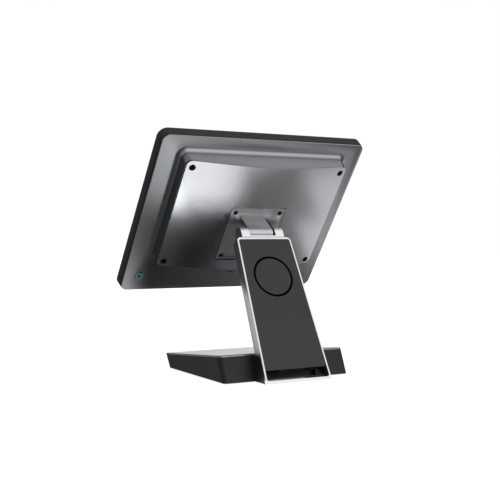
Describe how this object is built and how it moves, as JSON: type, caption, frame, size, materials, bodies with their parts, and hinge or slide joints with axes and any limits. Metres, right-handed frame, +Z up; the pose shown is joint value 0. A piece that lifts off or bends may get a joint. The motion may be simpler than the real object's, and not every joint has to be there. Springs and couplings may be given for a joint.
{
  "type": "pos touchscreen terminal",
  "caption": "Countertop point-of-sale touchscreen terminal: a tilting screen head on a leaning neck with a wedge base.",
  "frame": {"origin": "on the surface it stands on, under the middle of its box", "axes": "+Z up; the screen faces -Y; +X is the right-hand side as seen from the front"},
  "size_m": [0.3464, 0.2612, 0.3559],
  "materials": {
    "black_plastic": "finely textured black plastic",
    "screen_glass": "black-backed cover glass, drawn opaque",
    "panel": "display module",
    "satin_metal": "satin grey sheet metal",
    "heat_sink_aluminium": "plain",
    "brushed_aluminium": "brushed",
    "hinge_metal": "fine brushed grey",
    "silver_aluminium": "satin silver",
    "graphite_aluminium": "satin, darker than the neck",
    "port_metal": "plated",
    "button_collar": "satin dark",
    "slate_plastic": "smooth satin slate",
    "base_plastic": "fine satin black",
    "steel": "zinc plated",
    "black_steel": "black oxide",
    "circuit_board": "green solder mask",
    "cast_iron": "rough",
    "rubber": "matt",
    "button_green": "teal lens with a ring"
  },
  "bodies": {
    "stand": {"neck_frame": "silver_aluminium", "neck_rear_cover": "slate_plastic", "round_cap": "slate_plastic", "neck_spine": "steel", "hinge_clevis": "silver_aluminium", "clevis_screw_1": "steel", "clevis_screw_2": "steel", "hinge_shaft": "steel", "hinge_nut": "steel", "cable_guide": "base_plastic", "foot_block": "base_plastic", "neck_bolt_1": "steel", "neck_bolt_2": "steel", "base_housing": "base_plastic", "base_rear_panel": "base_plastic", "base_top_plate": "graphite_aluminium", "base_floor_plate": "steel", "ballast_block": "cast_iron", "rubber_foot_1": "rubber", "rubber_foot_2": "rubber", "rubber_foot_3": "rubber", "rubber_foot_4": "rubber"},
    "head": {"front_bezel": "black_plastic", "touch_glass": "screen_glass", "lcd_panel": "panel", "chassis_plate": "steel", "rear_cover": "satin_metal", "box_frame": "satin_metal", "back_plate": "brushed_aluminium", "back_plate_screw_1": "black_steel", "back_plate_screw_2": "black_steel", "back_plate_screw_3": "black_steel", "back_plate_screw_4": "black_steel", "hinge_plate": "hinge_metal", "friction_leaf": "black_steel", "hinge_plate_screw_1": "black_steel", "hinge_plate_screw_2": "black_steel", "hinge_plate_screw_3": "black_steel", "hinge_plate_screw_4": "black_steel", "mounting_bracket": "steel", "main_board": "circuit_board", "heat_sink": "heat_sink_aluminium", "memory_module": "circuit_board", "solid_state_drive": "port_metal", "speaker": "black_plastic", "port_shield": "port_metal", "power_jack": "port_metal", "lan_port": "port_metal", "usb_port_block": "port_metal", "power_button_ring": "button_collar", "button_switch_board": "circuit_board"},
    "power_button": {"power_button": "button_green"}
  },
  "joints": [
    {"name": "head_tilt", "type": "hinge", "parent": "stand", "child": "head", "pos_m": [0, 0.01548, 0.20724], "axis": [1, 0, 0], "range_deg": [-28, 34]},
    {"name": "power_button_press", "type": "slide", "parent": "head", "child": "power_button", "axis": [0, -0.807, 0.5906], "range_m": [0, 0.0006], "stiffness_N_per_m": 1000, "springref_m": -0.001}
  ]
}
